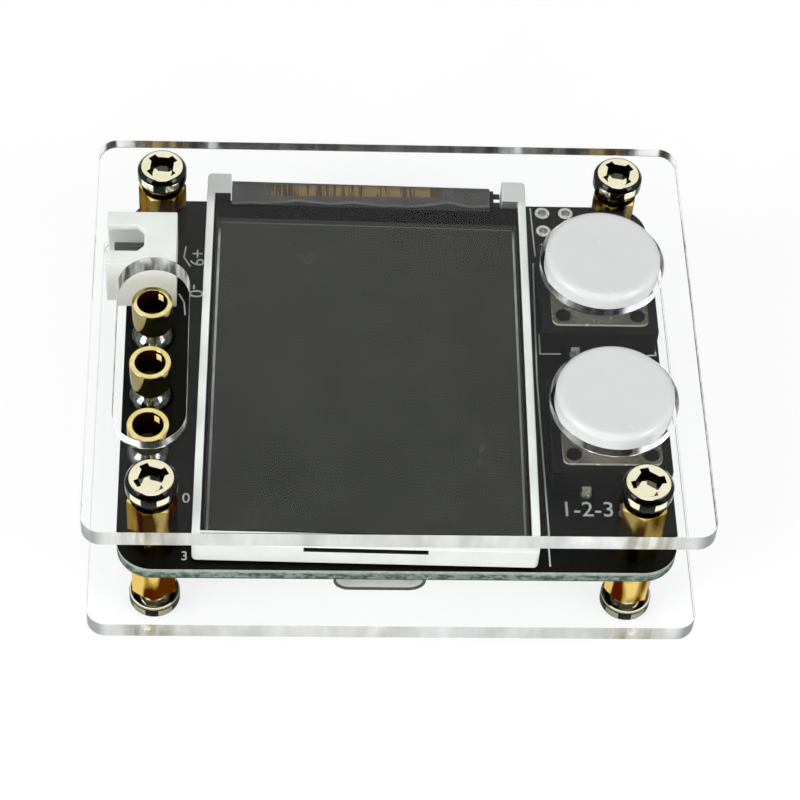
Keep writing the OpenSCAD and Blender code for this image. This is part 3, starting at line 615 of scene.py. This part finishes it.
def frame_plastic():
    """White moulded plastic that lets light through; its thin ears look greyer."""
    finish = Finish("white_frame_plastic")
    cloud = finish.between(finish.noise(3.0, 3), 0, 1)
    white = finish.blend(cloud, ink("ecefec"), ink("e2e6e2"))
    ear_grey = finish.blend(cloud, ink("cdcfcd"), ink("c2c4c2"))
    place = finish.axes()
    ears = finish.past(place["Y"], EARS_Y - 0.8, EARS_Y + 0.4)
    # painted shade: near black on the faces of the ears that look at the glass
    ear_shade = finish.times(finish.between(finish.facing("Y"), 1, 0, -0.8, -0.4), ears)
    tone = finish.blend(ear_shade, finish.blend(ears, white, ear_grey), ink("0b0c0b"))
    # painted shade: the narrow slot of the front wall is painted dark inside
    start = display_start(BOARD_TOP + LCD_SLOT_Z)
    spill = 0.1
    slot = finish.times(
        finish.within(place["Z"], start.z - spill, start.z + LCD_SLOT_H + spill, 0.01),
        finish.within(place["X"], start.x - LCD_SLOT_W / 2 - spill, start.x + LCD_SLOT_W / 2 + spill, 0.01),
        finish.before(place["Y"], start.y + 1.5, start.y + 1.6))
    return finish.principled({
        "Base Color": finish.blend(slot, tone, ink("060706")), "Roughness": finish.between(cloud, 0.34, 0.44),
        "Subsurface Weight": 0.2, "Subsurface Scale": 0.5 * MM, "Subsurface Radius": (1, 1, 1),
        "Normal": finish.bump(finish.noise(0.12, 2), 0.003)})


def shell_finish():
    """Plated sheet, darker along its cut edge at the mouth."""
    finish = Finish("usb_shell_metal")
    mouth = finish.before(finish.axes()["Y"], USB_LOW.y + 0.1, USB_LOW.y + 0.2)
    return finish.principled({
        "Base Color": finish.blend(mouth, ink("f0f1f0"), ink("4a4c4b")), "Metallic": 0.35,
        "Roughness": finish.between(finish.noise(2.0, 4), 0.3, 0.45),
        "Normal": finish.bump(finish.noise(0.4, 2), 0.003)})


def solder_finish():
    """Bright, slightly rippled metal with a thin film of flux in places."""
    finish = Finish("solder_bright")
    ripple = finish.noise(0.5, 3)
    return finish.principled({
        "Base Color": finish.blend(finish.between(ripple, 0, 1), ink("7c7e7b"), ink("383a37")),
        "Metallic": 1.0, "Roughness": finish.between(ripple, 0.05, 0.1), "Normal": finish.bump(ripple, 0.015)})


FINISHES = {
    "acrylic": clear_acrylic(),
    "gilt_screw": gilt("gilt_screw", "fffbde", "f8f2cc", "0b0a06"),
    "brass": drawn_brass(),
    "gilt_socket": gilt("gilt_socket", "fbf2b4", "efd47e", "33160a"),
    "board": board_finish(),
    "ink": marking_ink(),
    "film": display_film(),
    "front_glass": display_glass("front_glass", "1d1e1c"),
    "rear_glass": display_glass("rear_glass", "040504", 0.04),
    "flex": flex_film(),
    "solder": solder_finish(),
    "tin": metal("tinned_metal", "dcdcd6", 0.26, bare=0.6),
    # the cover carries a painted highlight on its edges
    "cover": metal("switch_cover_metal", "827d70", 0.22, 0.9, bare=0.6, edge="f6f4ec"),
    "shell": shell_finish(),
    "pin": metal("battery_pin_metal", "74746f", 0.4, 0.5),
    "can": metal("crystal_can_metal", "d0d2d0", 0.3),
    "white_frame": frame_plastic(),
    "light_guide": plastic("light_guide_plastic", "f4f6f2", "e9ece8", 0.2, glow=0.3),
    "socket_plastic": plastic("socket_plastic", "e0e2de", "d8dad6", 0.42, glow=0.3),
    "cap": plastic("button_cap_plastic", "dcdddd", "dadbdb", 0.24, grain=0.3, relief=0.003, glow=0.35),
    "black_plastic": plastic("black_plastic", "060606", "0c0d0c", 0.5, relief=0.008, shine=0.12),
    "chip": plastic("chip_epoxy", "161617", "1f1f20", 0.55, grain=0.08, relief=0.006),
    # black foam, also used for the strips and sheet that stand in for painted shade
    "foam": plastic("foam_tape", "0c0d0d", "050505", 0.9, grain=0.25, relief=0.05, shine=0.1),
    "led": plastic("led_body", "f1e6a8", "e6e2d0", 0.3, glow=0.3),
    "resistor": plastic("resistor_body", "101113", "1a1b1d", 0.35),
    "capacitor": plastic("capacitor_body", "b3946a", "9b7c52", 0.5)}


# ---------- stage, in metres and watts ----------

FLOOR_SIZE = 0.7
LAMPS = [
    # name, place, size, power
    ("lamp_left", (-0.46, -0.26, 0.26), 0.26, 1.8),
    ("lamp_right", (0.46, -0.3, 0.26), 0.22, 1.5),
    ("lamp_front", (0.0, -0.55, 0.14), 0.3, 0.75),
    ("lamp_above", (0.0, -0.12, 0.75), 0.4, 0.8)]


def add_floor():
    """A white floor that keeps a light shadow."""
    deselect()
    bpy.ops.mesh.primitive_plane_add(size=FLOOR_SIZE)
    floor = named("floor")
    finish = Finish("floor_white")
    pale = finish.add("BsdfDiffuse", {"Color": grey(0.24)})
    white = finish.add("Emission", {"Color": WHITE, "Strength": 0.78})
    backdrop = finish.add("AddShader", {0: pale.outputs[0], 1: white.outputs[0]})
    # light that already bounced off something dull meets a plain floor
    plain = finish.add("BsdfDiffuse", {"Color": grey(0.4)})
    floor.data.materials.append(finish.end(finish.mixed(finish.seen_directly(), plain, backdrop)))


def add_world():
    """A plain studio: white to the eye, even light for dull surfaces, and a room that shines back in gloss."""
    studio = Finish("studio", world=True)
    way = studio.add("SeparateXYZ", {0: studio.add("TexCoord").outputs["Generated"]}).outputs
    # a pale sweep behind the part, a dark room in front of it and white walls at its sides
    behind = studio.between(way["Y"], 0.015, 0.88, 0.0, 0.42, "SMOOTHSTEP")
    high = studio.between(way["Z"], 0.08, 1.0, 0.1, 0.5)
    walls = studio.between(studio.calc("ABSOLUTE", way["X"]), 0.0, 0.95, 0.7, 0.85)
    room = studio.calc("MAXIMUM", studio.times(behind, high), walls)
    glossy, soft, white = (
        studio.add("Background", {"Color": WHITE, "Strength": strength}) for strength in (room, 0.44, 1.0))
    shine = studio.add("LightPath").outputs["Is Glossy Ray"]
    lit = studio.mixed(shine, soft, glossy)
    bpy.context.scene.world = studio.end(studio.mixed(studio.seen_directly(), lit, white))


def add_lamps():
    for name, place, size, power in LAMPS:
        light = bpy.data.lights.new(name, "AREA")
        light.shape = "SQUARE"
        light.size = size
        light.energy = power
        lamp = bpy.data.objects.new(name, light)
        bpy.context.scene.collection.objects.link(lamp)
        lamp.location = place
        lamp.rotation_mode = "QUATERNION"
        lamp.rotation_quaternion = (Vector(place) - CAMERA_AIM).to_track_quat("Z", "Y")
        lamp.visible_glossy = name != "lamp_front"


# ---------- clear plates ----------

def add_plates():
    for node in ("top_plate", "bottom_plate"):
        dress(copy_of_node(node, node + "_sheet", 0.09), "acrylic", "clear_plate", node)


# ---------- posts and screws ----------

CROWN_R = 2.05
CROSS_SPAN = 3.46
CROSS_W = 0.9
CROSS_DEPTH = 1.05
# The cross's bottom as a share of its top: length, width and height
CROSS_TAPER = (0.66, 0.7, 1)
PIT_DEPTH = 1.1
PIT_LOW_R = 1.05
PIT_HIGH_R = 1.3
THREAD_PITCH = 0.45
# Heights of the rings round a head's straight side
SIDE_RINGS = (0.2, 0.42, 1.3)
# Painted dark reflection: the head's side is painted dark this near the camera's direction, and between these
# two turns, in degrees
NEAR_DARK = 16
SIDE_DARK = (48, 100)
# How far each screw is turned, in degrees, in the order of the posts
TOP_TURNS = [28, 12, 40, 33]
BOTTOM_TURNS = [5, 50, 20, 70]


def cross_cutter():
    """A cross with tapered arms and a wide pointed middle."""
    over = HEAD_H + 0.05
    arms = []
    for turn in (0, math.pi / 2):
        arm = block("arm", (-CROSS_SPAN / 2, -CROSS_W / 2, HEAD_H - CROSS_DEPTH),
                    (CROSS_SPAN / 2, CROSS_W / 2, over))
        bpy.ops.object.mode_set(mode="EDIT")
        shape = bmesh.from_edit_mesh(arm.data)
        for face in shape.faces:
            face.select = face.normal.z < -0.5
        shape.select_flush_mode()
        bmesh.update_edit_mesh(arm.data)
        bpy.ops.transform.resize(value=CROSS_TAPER, center_override=(0, 0, 0))
        bpy.ops.object.mode_set(mode="OBJECT")
        arm.rotation_euler.z = turn
        apply_place()
        arms.append(arm)
    cross = cut(arms[0], arms[1], "UNION")
    point = turned("point", [(PIT_LOW_R, HEAD_H - PIT_DEPTH), (PIT_HIGH_R, over)], 8)
    point.rotation_euler.z = math.pi / 8
    activate(point)
    apply_place()
    return cut(cross, point, "UNION")


def thread(start, end, root, crest):
    """Ring points of a thread between two heights."""
    turns = int((end - start) / THREAD_PITCH)
    rings = []
    for i in range(turns):
        z = start + i * THREAD_PITCH
        rings += [(root, z + 0.04), (crest, z + 0.2), (crest, z + 0.27), (root, z + 0.43)]
    return rings


def in_recess(point):
    """Whether a face of a head lies in its cross, but not on the floor, or on the slope round its crown."""
    out = point.xy.length
    floor = abs(point.z - HEAD_H + PIT_DEPTH) < 0.02 and out < 1.0
    in_cross = HEAD_H - 1.4 < point.z < HEAD_H - 0.08 and out < 1.85 and not floor
    return in_cross or (1.1 < point.z < HEAD_H - 0.03 and out > CROWN_R)


def pan_screw():
    """A pan head screw standing on its shank, with the underside of its head at zero height."""
    rings = [(SHANK_R - 0.3, -SHANK_L)] + thread(-SHANK_L + 0.05, -0.3, SHANK_R - 0.22, SHANK_R)
    rings += [(SHANK_R - 0.12, -0.02), (HEAD_R - 0.16, 0), (HEAD_R - 0.07, 0.06)]
    rings += [(HEAD_R, height) for height in SIDE_RINGS]
    rings += [(HEAD_R - 0.03, 1.38), (HEAD_R - 0.28, HEAD_H - 0.1)]
    rings += arc(CROWN_R, HEAD_H - 0.19, 0.19, 32, 85, 5) + [(CROWN_R - 0.4, HEAD_H)]
    screw = cut(turned("screw", rings, 72), cross_cutter())
    # painted shade in the cross, and a painted dark reflection on the slope round the crown
    mark_faces(screw, "painted_shade", in_recess)
    return smooth(screw, 24)


def shade_side(screw, post, level):
    """Paints a dark reflection on the side of a head, as a dark room in front of it would give, and leaves two
    bright stretches.
    """
    def dark(point):
        out = point - post
        rise = abs(point.z - level)
        if out.xy.length < HEAD_R - 0.1 or not SIDE_RINGS[0] < rise < 1.1:
            return False
        turn = abs(math.degrees(math.atan2(out.x, -out.y) - CAMERA_AZIMUTH))
        return (turn < NEAR_DARK or SIDE_DARK[0] < turn < SIDE_DARK[1] or
                (turn < SIDE_DARK[1] and rise < 0.4))
    mark_faces(screw, "painted_shade", dark)


def add_screws():
    screw = pan_screw()
    for i, post in enumerate(POSTS):
        for side, level, turns in (("top", PLATE_HIGH.z, TOP_TURNS), ("bottom", BASE_LOW.z, BOTTOM_TURNS)):
            piece = copied(screw, f"{side}_screw_{i + 1}", (post.x, post.y, level), math.radians(turns[i]),
                           flip=side == "bottom")
            shade_side(piece, post, level)
            dress(piece, "gilt_screw", "gilt_screw", side + "_screws")
    bpy.data.objects.remove(screw)


# Across the flats of the hexagon, and its corners' radius
STANDOFF_AF = 4.3
STANDOFF_R = STANDOFF_AF / math.sqrt(3)
STANDOFF_CHAMFER = 0.3
STUD_L = 3.8
# How far each standoff is turned, in degrees, in the order of the posts
LOWER_TURNS = [30, 10, 0, 22]
UPPER_TURNS = [12, 25, 2, 16]


def hex_post(height, stud):
    """A hexagonal standoff with turned ends, and a plain stud of some length under it."""
    deselect()
    bpy.ops.mesh.primitive_cylinder_add(
        vertices=6, radius=STANDOFF_R * MM, depth=height * MM, location=(0, 0, height / 2 * MM),
        rotation=(0, 0, math.pi / 6))
    apply_place()
    post = named("post")
    foot_r, full_r, slope = STANDOFF_R - STANDOFF_CHAMFER, STANDOFF_R + 0.02, STANDOFF_CHAMFER * 0.6
    ends = turned("ends", [(foot_r, 0), (full_r, slope), (full_r, height - slope), (foot_r, height)], 96)
    cut(post, ends, "INTERSECT")
    soften(post, 0.05, 2, 20)
    if stud:
        pin = turned("stud", [(SHANK_R - 0.25, -stud), (SHANK_R, 0.25 - stud), (SHANK_R, 0.05)], 32)
        smooth(pin)
        post = joined([post, pin], "post")
    return post


def add_standoffs():
    kinds = {
        "lower": hex_post(BOARD_LOW.z - BASE_HIGH.z, 0),
        "upper": hex_post(PLATE_LOW.z - BOARD_TOP, STUD_L)}
    for i, post in enumerate(POSTS):
        for side, foot, turns in (("lower", BASE_HIGH.z, LOWER_TURNS), ("upper", BOARD_TOP, UPPER_TURNS)):
            name = f"{side}_standoff_{i + 1}"
            piece = copied(kinds[side], name, (post.x, post.y, foot), math.radians(turns[i]))
            dress(piece, "brass", "brass_post", side + "_standoffs")
    for piece in kinds.values():
        bpy.data.objects.remove(piece)


# ---------- test sockets ----------

SOCKET_R = 2.1
SOCKET_BORE_R = 1.55
SOCKET_H = 5.4
SOCKET_DEPTH = 3.5
SOCKET_RIM = 0.07
# A painted highlight high in each bore, at its back right: depths, and turns in degrees
GLINT_DEPTH = (0.4, 1.3)
GLINT_TURN = (45, 68)
MOUND_RINGS = [
    (2.35, 0.0), (2.35, 0.06), (2.22, 0.36), (2.02, 0.68), (1.8, 0.93), (1.6, 1.1), (1.5, 1.24), (1.46, 1.27)]


def in_bore(point):
    """Whether a face of a socket lies inside its bore, below the rim."""
    low, high = SOCKET_H - SOCKET_DEPTH - 0.35, SOCKET_H - 0.2
    return low < point.z < high and point.xy.length < SOCKET_BORE_R + 0.02


def in_painted_glint(point):
    """Whether a face of a socket lies in the painted highlight of its bore."""
    depth = SOCKET_H - point.z
    turn = math.degrees(math.atan2(point.y, point.x))
    low, high = GLINT_TURN
    return in_bore(point) and low < turn < high and GLINT_DEPTH[0] < depth < GLINT_DEPTH[1]


def add_sockets():
    rim = SOCKET_RIM
    rings = [
        (0.7, -2.5), (0.9, -2.3), (0.9, 0.0), (1.45, 0.0), (1.45, 1.3), (1.62, 1.42), (SOCKET_R, 2.4),
        (SOCKET_R, SOCKET_H - rim - 0.02)]
    rings += arc(SOCKET_R - rim, SOCKET_H - rim, rim, 10, 90, 4)
    rings += arc(SOCKET_BORE_R + rim, SOCKET_H - rim, rim, 90, 170, 4)
    rings += [(SOCKET_BORE_R, SOCKET_H - depth) for depth in (*GLINT_DEPTH, SOCKET_DEPTH)]
    rings.append((0.3, SOCKET_H - SOCKET_DEPTH - 0.3))
    socket = turned("socket", rings, 64)
    # painted shade inside the bore
    mark_faces(socket, "painted_shade", in_bore)
    # a painted highlight that glows, high in the bore
    mark_faces(socket, "painted_glint", in_painted_glint)
    smooth(socket, 40)
    mound = smooth(turned("mound", MOUND_RINGS, 48), 50)
    for i in (1, 2, 3):
        centre = middle(f"test_socket_{i}")
        place = (centre.x, centre.y, BOARD_TOP)
        dress(copied(socket, f"test_socket_{i}_body", place), "gilt_socket", "gilt_socket", f"test_socket_{i}")
        dress(copied(mound, f"test_socket_{i}_solder", place), "solder", "solder", "test_socket_solder")
    for piece in (socket, mound):
        bpy.data.objects.remove(piece)


# ---------- push buttons ----------

CAP_HUB_R = 3.1
CAP_WELL_R = 2.4
CAP_WELL_H = 0.9
CAP_DISC_H = 2.5
CAP_EDGE = 0.7


def cap_moulding(side):
    """A round cap with a hub under its disc and a slightly hollow top."""
    low, high = corners(side + "_button_cap")
    centre = (low + high) / 2
    r = (high.x - low.x) / 2
    disc = high.z - CAP_DISC_H
    rings = [
        (CAP_WELL_R, low.z + CAP_WELL_H), (CAP_WELL_R, low.z), (CAP_HUB_R - 0.1, low.z),
        (CAP_HUB_R, low.z + 0.1), (CAP_HUB_R, disc),
        (r - 0.25, disc), (r - 0.05, disc + 0.12), (r, disc + 0.3)]
    rings += arc(r - CAP_EDGE, high.z - CAP_EDGE, CAP_EDGE, 0, 84, 10)
    rings += [(r - 1.1, high.z - 0.02), (r - 2.2, high.z - 0.04), (0.5, high.z - 0.05)]
    return smooth(turned(side + "_cap_moulding", rings, 96, (centre.x, centre.y, 0)), 40)


def add_buttons():
    for side in ("back", "front"):
        dress(cap_moulding(side), "cap", "button_cap", side + "_button_cap", body=side + "_button")
        for part, finish, slot in (
                ("base", "black_plastic", "switch_plastic"), ("cover", "cover", "switch_cover")):
            node = f"{side}_switch_{part}"
            dress(copy_of_node(node, node + "_part", 0.06), finish, slot, node)
        paint(side + "_switch_plunger", "black_plastic")
        for part in ("legs", "dome"):
            paint(f"{side}_switch_{part}", "tin")


# ---------- display ----------

def set_on_display(piece, z=0.0):
    """Moves a piece from the display's own frame to its place, z over the ground."""
    piece.matrix_world = Matrix.Translation(display_start(z) * MM) @ LCD_FLAT
    activate(piece)
    apply_place()
    return piece


def add_display():
    dress(copy_of_node("lcd_frame", "lcd_frame_moulding", 0.1, 3), "white_frame", "display_frame", "lcd_frame")
    for node, finish in (
            ("lcd_tape", "foam"), ("lcd_light_guide", "light_guide"), ("lcd_backlight_leds", "led"),
            ("lcd_rear_glass", "rear_glass"), ("lcd_front_glass", "front_glass"), ("lcd_polarizer", "film"),
            ("lcd_flex", "flex")):
        paint(node, finish)
    # black strips in the narrow gap between each rail and the glass, standing in for the shade there
    pocket = LCD_W / 2 - LCD_RAIL
    shade_strips = []
    for side in (-1, 1):
        left, right = sorted(side * (pocket - off) for off in RIM_SHADE_X)
        shade_strips.append(block("rim_shade_strip", (left, LCD_FRONT_WALL + 0.2, LCD_TOP - RIM_SHADE_Z[0]),
                           (right, LCD_L - RIM_SHADE_BACK, LCD_TOP - RIM_SHADE_Z[1])))
    dress(set_on_display(joined(shade_strips, "lcd_rim_shade_strips")), "foam", "foam_tape")
    tab = joined([block("tab", low, high) for low, high in FLEX_TABS], "flex_tab")
    dress(set_on_display(tab, BOARD_TOP), "black_plastic", "flex")
    # a black sheet behind the narrow slot of the front wall, standing in for the shade inside it
    film = block("slot_shade_sheet", (-LCD_SLOT_W / 2 + 0.01, 0.1, LCD_SLOT_Z + 0.01),
                 (LCD_SLOT_W / 2 - 0.01, 1.1, LCD_SLOT_Z + LCD_SLOT_H - 0.01))
    dress(set_on_display(film, BOARD_TOP), "foam", "foam_tape")


# ---------- battery and USB sockets ----------

def add_connectors():
    dress(copy_of_node("battery_socket_housing", "battery_socket_moulding", 0.1), "socket_plastic",
          "socket_plastic", "battery_socket_housing")
    paint("battery_socket_pins", "pin")
    dress(copy_of_node("usb_shell", "usb_shell_can", 0.06, 2, 40), "shell", "usb_shell", "usb_shell")
    paint("usb_tongue", "light_guide")


# ---------- parts under the board ----------

def add_underside():
    for finish, *covered in (
            ("chip", "microcontroller", "regulator", "voltage_reference", "transistors"),
            ("tin", "microcontroller_legs", "regulator_legs", "transistor_legs", "chip_end_caps"),
            ("can", "crystal"), ("resistor", "resistors"), ("capacitor", "capacitors"),
            ("solder", "solder_joints")):
        for node in covered:
            paint(node, finish)


# ---------- markings on the board ----------

INK_H = 0.02
INK_W = 0.16


def stroke(start, end):
    """A printed line between two points of the board, in millimetres."""
    start, end = Vector(start), Vector(end)
    run = end - start
    centre = (start + end) / 2
    half = Vector((run.length / 2 + INK_W / 2, INK_W / 2))
    return block("stroke", (centre.x - half.x, centre.y - half.y, BOARD_TOP),
                 (centre.x + half.x, centre.y + half.y, BOARD_TOP + INK_H), math.atan2(run.y, run.x))


def printed(text, place, size, turn):
    """Printed figures, flat on the board."""
    deselect()
    bpy.ops.object.text_add()
    words = bpy.context.object
    words.data.body = text
    words.data.size = size * MM
    words.data.extrude = INK_H / 2 * MM
    words.data.align_x = "CENTER"
    words.data.align_y = "CENTER"
    words.data.resolution_u = 3
    bpy.ops.object.convert(target="MESH")
    words = bpy.context.object
    words.location = (place[0] * MM, place[1] * MM, (BOARD_TOP + INK_H / 2) * MM)
    words.rotation_euler = (0, 0, turn)
    apply_place()
    return words


LINES = [
    # outline at the right of the display
    ((15.62, 23.2), (15.78, 16.51)), ((15.5, 15.39), (15.05, -0.26)), ((15.05, -0.26), (15.17, -22.77)),
    # brackets round the front button
    ((15.85, -2.59), (15.78, -14.19)), ((15.78, -14.19), (16.99, -14.15)), ((20.72, -14.15), (22.74, -14.15)),
    # brackets round the back button
    ((15.6, 5.7), (15.56, 3.16)), ((15.56, 3.16), (17.65, 3.2)), ((27.38, 5.62), (27.7, 3.16)),
    ((27.7, 3.16), (26.86, 3.14)),
    # outline of the battery socket
    ((-21.42, 17.05), (-21.61, 15.66)), ((-21.61, 15.66), (-20.95, 14.43)),
    ((-22.0, 11.25), (-21.49, 10.18)), ((-21.49, 10.18), (-21.35, 8.56))]
# Figures beside the buttons, the battery socket and the test sockets: text, place, size, turn
FIGURES = [
    ("1-2-3", (19.2, -16.6), 2.55, 0), ("1", (19.38, -14.75), 1.1, 0), ("2", (19.16, 3.95), 1.1, 0),
    ("+9", (-20.3, 15.6), 2.2, -math.pi / 2), ("-0", (-20.3, 11.0), 2.2, -math.pi / 2),
    ("0", (-20.75, -15.66), 1.7, 0), ("3", (-20.8, -22.0), 1.5, 0)]


def add_markings():
    marks = [stroke(start, end) for start, end in LINES] + [printed(*figure) for figure in FIGURES]
    dress(joined(marks, "board_markings"), "ink", "circuit_board")


# Plated holes of the programming header, with the first one's place from the board's right and back
HEADER_PITCH = 2.54
HEADER_RIGHT = 11.13
HEADER_BACK = 0.95
PAD_R = 0.8
PAD_HOLE_R = 0.46
PAD_RISE = 0.03


def add_board():
    paint("circuit_board", "board")
    low, high = BOARD_LOW.z - PAD_RISE, BOARD_TOP + PAD_RISE
    waist = PAD_HOLE_R + 0.03
    section = [
        (PAD_HOLE_R, low), (PAD_R, low), (PAD_R, BOARD_LOW.z), (waist, BOARD_LOW.z),
        (waist, BOARD_TOP), (PAD_R, BOARD_TOP), (PAD_R - 0.03, high), (PAD_HOLE_R, high)]
    right, back = BOARD_HIGH.x - HEADER_RIGHT, BOARD_HIGH.y - HEADER_BACK
    pads = [turned("pad", section, 32, (right + i * HEADER_PITCH, back - j * HEADER_PITCH, 0), hollow=True)
            for i in range(2) for j in range(3)]
    dress(smooth(joined(pads, "header_pads"), 40), "tin", "solder")


# ---------- the whole ----------

bpy.context.scene.view_settings.view_transform = "Standard"
add_camera()
add_floor()
add_world()
add_lamps()
add_plates()
add_screws()
add_standoffs()
add_sockets()
add_buttons()
add_display()
add_connectors()
add_underside()
add_board()
add_markings()
